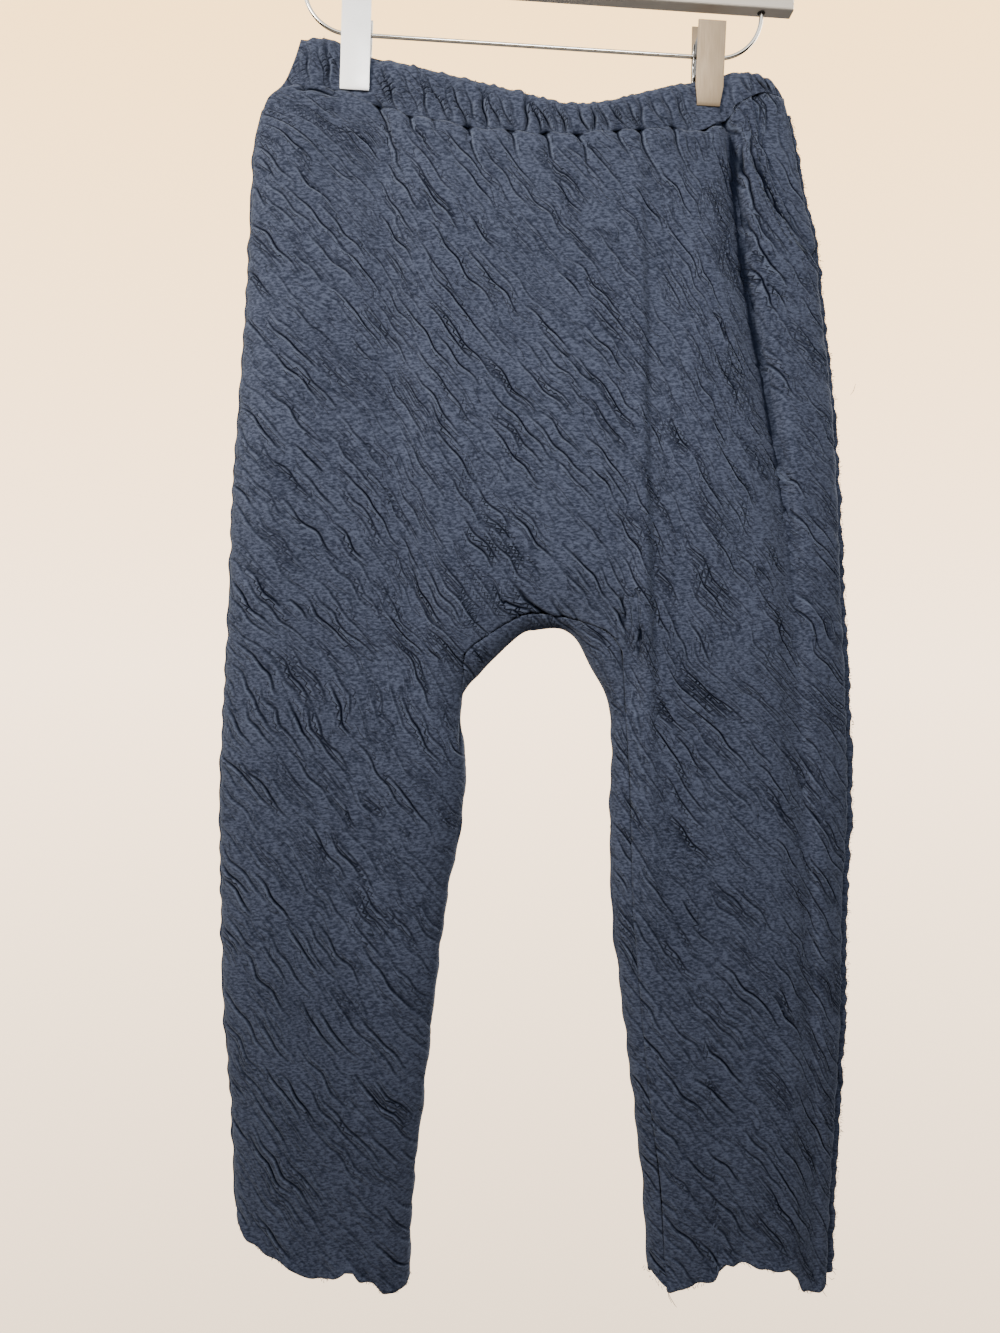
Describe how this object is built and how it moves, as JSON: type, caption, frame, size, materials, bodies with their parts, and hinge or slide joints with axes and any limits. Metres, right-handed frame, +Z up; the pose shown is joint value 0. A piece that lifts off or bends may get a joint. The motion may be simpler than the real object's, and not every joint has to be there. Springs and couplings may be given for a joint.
{
  "type": "harem pants on a clip hanger",
  "caption": "Drop-crotch trousers of crinkled jersey with a gathered elastic waistband, one slash pocket and raw hems, hanging flat from a bar hanger with two clips.",
  "frame": {"origin": "inside top of the hanger's hook, where a rail carries it", "axes": "+Z up, -Y out of the front of the garment, +X to the right as the front is seen"},
  "size_m": [0.471, 0.0509, 1.0534],
  "materials": {
    "jersey": "matte crinkled marl jersey, slate blue",
    "satin_aluminium": "satin",
    "polished_wire": "polished",
    "black_cheek": "black",
    "white_lacquer": "satin white lacquer"
  },
  "bodies": {
    "root": {"front_panel": "jersey", "back_panel": "jersey", "waistband": "jersey", "pocket_facing_right": "jersey", "seam_allowance_right": "jersey", "seam_allowance_left": "jersey", "hanger_bar": "white_lacquer", "hanger_rod": "polished_wire", "hanger_hook": "polished_wire", "clip_left_front_plate": "satin_aluminium", "clip_left_back_plate": "satin_aluminium", "clip_left_left_cheek": "black_cheek", "clip_left_right_cheek": "black_cheek", "clip_left_spring": "polished_wire", "clip_right_front_plate": "satin_aluminium", "clip_right_back_plate": "satin_aluminium", "clip_right_left_cheek": "black_cheek", "clip_right_right_cheek": "black_cheek", "clip_right_spring": "polished_wire"}
  },
  "joints": []
}
